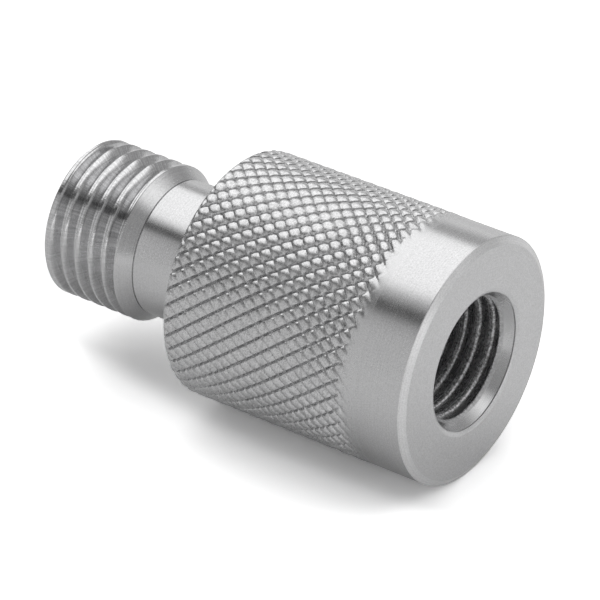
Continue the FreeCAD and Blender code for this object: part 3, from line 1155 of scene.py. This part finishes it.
class CouplingBody:
    """The coupling's one-piece body: stud, neck, knurled head and port."""

    def __init__(self) -> None:
        """Choose the sizes of the sub-assemblies and make their finishes."""
        self.knurl = Knurl(low=CadHeights.shoulder, high=CadHeights.knurl_top)
        self.stud = Stud()
        self.port = Port()
        self.materials = [BODY_FINISHES[finish].material() for finish in Finish]

    def build(self) -> bpy.types.Object:
        """Put the body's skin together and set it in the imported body's place.

        Returns:
            The body.
        """
        shell = Shell("turned_body")
        grip = self.knurl.tree().mesh(self.materials[Finish.ROLLED.value])
        shell.add(grip, self.knurl.low, self.knurl.high, Finish.ROLLED)
        shoulder = shell.edge(self.knurl.low, self.knurl.radius)
        mouth = self.stud.build(shell, self.materials[Finish.THREADED.value], shoulder,
                                self.knurl.low)
        knurl_end = shell.edge(self.knurl.high, self.knurl.band_radius)
        self.port.build(shell, self.materials[Finish.BORED.value], knurl_end, mouth)
        piece = shell.finish(self.materials)
        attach(piece, "coupling")
        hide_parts("coupling_body")
        return piece


@dataclass(frozen=True)
class ValveSpring:
    """Spring behind the valve, with closed end turns that are ground flat.

    Attributes:
        wire: Radius of the wire.
        mean: Radius of the wire's middle line.
        turns: Turns of the spring, its closed ends among them.
        closed: Advance of an end turn.
        tip: Distance from a ground end to the wire's middle line there.
        steps: Stations along a turn.
        sides: Sides of the wire's section.
        joint: Name of a joint; not used.
    """

    wire: float = 0.35
    mean: float = 2.75
    turns: float = 5.5
    closed: float = 0.72
    tip: float = 0.05
    steps: int = 32
    sides: int = 12
    joint: str = "valve_lift"

    def tree(self, low: float, high: float) -> ShapeTree:
        """Wind the wire between two heights.

        Args:
            low: Height of the spring's lower end, in millimetres.
            high: Height of its upper end, in millimetres.

        Returns:
            The tree, with named inputs for the spring's sizes.
        """
        shape = ShapeTree("wound_wire")
        wire = shape.size("Wire radius", self.wire)
        mean = shape.size("Mean radius", self.mean)
        turns = shape.size("Turns", self.turns)
        closed = shape.size("Closed pitch", self.closed)
        bottom = shape.size("Low", low)
        top = shape.size("High", high)
        stations = shape.size("Stations", round(self.turns * self.steps) + 2)
        sheet, station, share = shape.strip(stations, stations, self.sides)
        inner = station.most(1.0).least(stations - 1.0)
        section = (1.0 - abs(station - inner)) * wire
        turn = (inner - 1.0) * turns / (stations - 2.0)
        spare = top - bottom - 2 * self.tip - closed * turns
        opened = turn.ramp(1.0, turns - 1.0, smooth=False) * spare
        middle = bottom + self.tip + closed * turn + opened
        lean = share * TURN
        height = (middle + lean.sine() * section).most(bottom).least(top)
        shape.wrap(sheet, turn * TURN, mean + lean.cosine() * section, height)
        return shape

    def build(self) -> bpy.types.Object:
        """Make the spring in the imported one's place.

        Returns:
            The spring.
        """
        low, high = (corner.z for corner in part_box("valve_spring"))
        shell = Shell("wound_spring")
        material = SPRING_FINISH.material()
        shell.mesh.from_mesh(self.tree(low / METRE, high / METRE).mesh(material))
        piece = shell.finish([material])
        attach(piece, "coupling")
        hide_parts("valve_spring")
        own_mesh(piece)
        return piece


class ValveParts:
    """The valve, its disc, ring and seals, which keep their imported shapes."""

    def dress(self) -> list[str]:
        """Give each inner node its finish.

        Returns:
            Names of the nodes that were dressed.
        """
        for name, finish in INNER_FINISHES.items():
            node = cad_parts[name]
            material = finish.material()
            if not node.material_slots:
                node.data.materials.append(material)
            for slot in node.material_slots:
                slot.material = material
        return list(INNER_FINISHES)


@dataclass(frozen=True)
class FloorWhite:
    """Matt white that keeps the part's shadow, with painted shade and painted light on it, is white
    elsewhere and has no back.

    Attributes:
        name: Name of the material.
        bounced: Grey that lights the part from below.
        mirrored_with_painted_light: Grey that the metal mirrors, and the painted light that it
            gains past the port.
        painted_reflection_rise: Heights between which it gains that painted light, in millimetres.
        seen: Grey that the camera sees in the shadow, painted darker beside the part as painted
            shade, and what it gains clear of it.
        clear: Distances to the side between which the painted shade gives way, in millimetres.
        lean: Height from which the painted shade leans to the side like the shadow, for how long,
            and how much.
        painted_light_past_port: Share of painted light that the seen grey gains past the port,
            where it thins the shadow.
        painted_light_past_port_rise: Heights between which it gains that painted light, in
            millimetres.
        lift: Factor that makes the seen grey white where the light is full.
    """

    name: str = "floor_white_with_painted_shade"
    bounced: float = 0.86
    mirrored_with_painted_light: tuple[float, float] = (0.94, 0.14)
    painted_reflection_rise: tuple[float, float] = (33.0, 39.0)
    seen: tuple[float, float] = (0.80, 0.36)
    clear: tuple[float, float] = (2.5, 5.5)
    lean: tuple[float, float, float] = (4.0, 12.0, 0.2)
    painted_light_past_port: float = 0.45
    painted_light_past_port_rise: tuple[float, float] = (33.0, 41.0)
    lift: float = 2.05

    def material(self) -> bpy.types.Material:
        """Build the white, which differs for the camera, for mirrors and for the light, and carries
        painted shade and painted light.

        Returns:
            The finished material.
        """
        material, graph = new_material(self.name)
        path = graph.add("ShaderNodeLightPath")
        x, _, z = graph.separate(object_place(graph))
        # Painted light: the grey that the metal mirrors is painted brighter past the port, which
        # lights the port's face and chamfer in their reflections.
        mirrored_with_painted_light = self.mirrored_with_painted_light[0] + z.ramp(*self.painted_reflection_rise) * self.mirrored_with_painted_light[1]
        # Painted shade: the grey that the camera sees is painted darker beside the part, along a
        # leaning edge, and painted lighter past the port.
        start, length, slope = self.lean
        aside = x - (z - start).most(0.0).least(length) * slope
        seen = self.seen[0] + aside.ramp(*self.clear) * self.seen[1]
        seen = seen * (1.0 + z.ramp(*self.painted_light_past_port_rise) * self.painted_light_past_port) * self.lift
        bounced = graph.mixed(path.outputs["Is Glossy Ray"], (self.bounced,) * 3,
                              graph.combine(mirrored_with_painted_light, mirrored_with_painted_light, mirrored_with_painted_light))
        colour = graph.mixed(path.outputs["Is Camera Ray"], bounced,
                             graph.combine(seen, seen, seen))
        matt = graph.add("ShaderNodeBsdfDiffuse", None, {"Color": colour}).outputs[0]
        clear = graph.add("ShaderNodeBsdfTransparent").outputs[0]
        back = graph.add("ShaderNodeNewGeometry").outputs["Backfacing"]
        surface = graph.add("ShaderNodeMixShader", None, {0: back, 1: matt, 2: clear}).outputs[0]
        graph.add("ShaderNodeOutputMaterial", None, {"Surface": surface})
        return material


FLOOR_FINISH = FloorWhite()


@dataclass(frozen=True)
class Card:
    """Soft panel of light, far off.

    Attributes:
        towards: Direction from the part to the panel's middle.
        along: Direction of its longer side.
        half: Half sizes along and across, seen from 1 away.
        strength: Light that it adds.
        edge: Width of its soft edge, as a share of its half size.
    """

    towards: Point
    along: Point
    half: tuple[float, float]
    strength: float
    edge: float = 0.25

    # Cosines between which a panel fades in at the rim of its half of the room.
    RIM = (0.02, 0.06)

    def light(self, graph: Graph, direction: Value) -> Value:
        """Add the panel to the room's light.

        Args:
            graph: Graph of the world.
            direction: Direction in which the part looks.

        Returns:
            Light that the panel adds in that direction.
        """
        facing = Vector(self.towards).normalized()
        along = Vector(self.along)
        along = (along - facing * along.dot(facing)).normalized()
        across = facing.cross(along)
        ahead = graph.vector("DOT_PRODUCT", direction, tuple(facing))
        share = ahead.ramp(*self.RIM)
        for axis, half in zip((along, across), self.half):
            beside = graph.vector("DOT_PRODUCT", direction, tuple(axis))
            offset = abs(beside / ahead.most(self.RIM[0]))
            share = share * (1.0 - offset.ramp(half * (1 - self.edge), half * (1 + self.edge)))
        return share * self.strength


@dataclass(frozen=True)
class Studio:
    """Camera, light and the pale floor on which the pictured part lies.

    Attributes:
        camera_place: Camera's place, in metres.
        camera_ahead: Direction in which it looks.
        camera_up: Direction that is up in its picture.
        lens: Focal length, in millimetres.
        sensor: Width of the picture behind the lens, in millimetres.
        clip: Nearest and farthest place that the camera sees, in metres.
        floor: Distance from the axis to the floor, which touches the knurl, in metres.
        reach: Half width of the floor, in metres.
        room: Light of the bare room.
        cards: Panels of light, and dark ones that take light away.
    """

    camera_place: Point = (0.209622, -0.162822, 0.170925)
    camera_ahead: Point = (-0.686358, 0.534576, -0.493151)
    camera_up: Point = (-0.434152, -0.845120, -0.311813)
    lens: float = 236.75
    sensor: float = 36.0
    clip: Spot = (0.01, 5.0)
    floor: float = 0.010075
    reach: float = 0.6
    room: float = 0.45
    cards: tuple[Card, ...] = (
        Card((-0.28, -0.80, -0.53), (-0.91, 0.41, 0.0), (0.62, 0.55), 1.08, 0.12),
        Card((0.85, -0.16, -0.35), (0.0, -0.9, 0.0), (0.58, 1.10), 0.25, 0.5),
        Card((-0.05, 0.13, 0.98), (1.0, 0.0, 0.0), (0.80, 0.22), 1.25, 0.25),
        Card((-0.35, -0.67, 0.65), (-0.88, 0.47, 0.0), (0.50, 0.24), 1.15, 0.35),
        Card((0.49, -0.72, -0.49), (0.83, 0.56, 0.0), (0.10, 0.60), -0.40, 0.35),
        Card((0.50, -0.76, 0.25), (0.83, 0.56, 0.0), (0.45, 0.45), -0.10, 0.5),
        Card((0.12, -0.88, 0.46), (1.0, 0.0, 0.0), (0.30, 0.17), -0.38, 0.4),
        Card((-0.87, -0.02, -0.46), (0.0, 1.0, 0.0), (0.22, 0.50), 0.45, 0.4),
        Card((0.20, -0.10, -0.97), (1.0, 0.0, 0.0), (0.60, 0.60), -0.28, 0.5),
    )

    def build(self) -> None:
        """Set up camera, world and floor."""
        self.make_camera()
        self.make_world()
        self.make_floor()
        bpy.context.scene.view_settings.view_transform = "Standard"

    def make_camera(self) -> None:
        """Place the camera at the photograph's viewing angle."""
        data = bpy.data.cameras.new("camera")
        data.sensor_width = self.sensor
        data.lens = self.lens
        data.clip_start, data.clip_end = self.clip
        camera = bpy.data.objects.new("camera", data)
        back = -Vector(self.camera_ahead).normalized()
        right = Vector(self.camera_up).cross(back).normalized()
        turned = Matrix((right, back.cross(right), back)).transposed().to_4x4()
        camera.matrix_world = Matrix.Translation(self.camera_place) @ turned
        bpy.context.scene.collection.objects.link(camera)
        bpy.context.scene.camera = camera

    def make_world(self) -> None:
        """White for the camera, and a soft studio for everything else."""
        world = bpy.data.worlds.new("studio")
        bpy.context.scene.world = world
        world.use_nodes = True
        world.node_tree.nodes.clear()
        graph = Graph(world.node_tree)
        direction = graph.value(graph.add("ShaderNodeTexCoord"), "Generated")
        light = graph.math("ADD", self.room, 0.0)
        for card in self.cards:
            light = light + card.light(graph, direction)
        studio = graph.add("ShaderNodeBackground", None,
                           {"Color": graph.combine(light, light, light)})
        white = graph.add("ShaderNodeBackground", None, {"Color": (1.0, 1.0, 1.0)})
        seen = graph.add("ShaderNodeLightPath").outputs["Is Camera Ray"]
        both = graph.add("ShaderNodeMixShader", None,
                         {0: seen, 1: studio.outputs[0], 2: white.outputs[0]})
        graph.add("ShaderNodeOutputWorld", None, {"Surface": both.outputs[0]})

    def make_floor(self) -> None:
        """Lay the floor beside the part, which stands upright in its own frame."""
        mesh = bpy.data.meshes.new("floor")
        corners = [(side * self.reach, self.floor, rise * self.reach)
                   for side, rise in ((-1, -1), (1, -1), (1, 1), (-1, 1))]
        mesh.from_pydata(corners, [], [(0, 1, 2, 3)])
        mesh.materials.append(FLOOR_FINISH.material())
        sheet = bpy.data.objects.new("floor", mesh)
        bpy.context.scene.collection.objects.link(sheet)


def main() -> None:
    """Build the body and the spring, dress the valve parts and set the stage."""
    logging.basicConfig(level=logging.INFO, format="%(name)s: %(message)s")
    body = CouplingBody().build()
    LOG.info("%s is built with %d corners", body.name, len(body.data.vertices))
    spring = ValveSpring().build()
    LOG.info("%s is built with %d corners", spring.name, len(spring.data.vertices))
    for name in ValveParts().dress():
        LOG.info("%s is dressed", name)
    Studio().build()
    LOG.info("camera and studio are set")


if __name__ == "__main__":
    main()
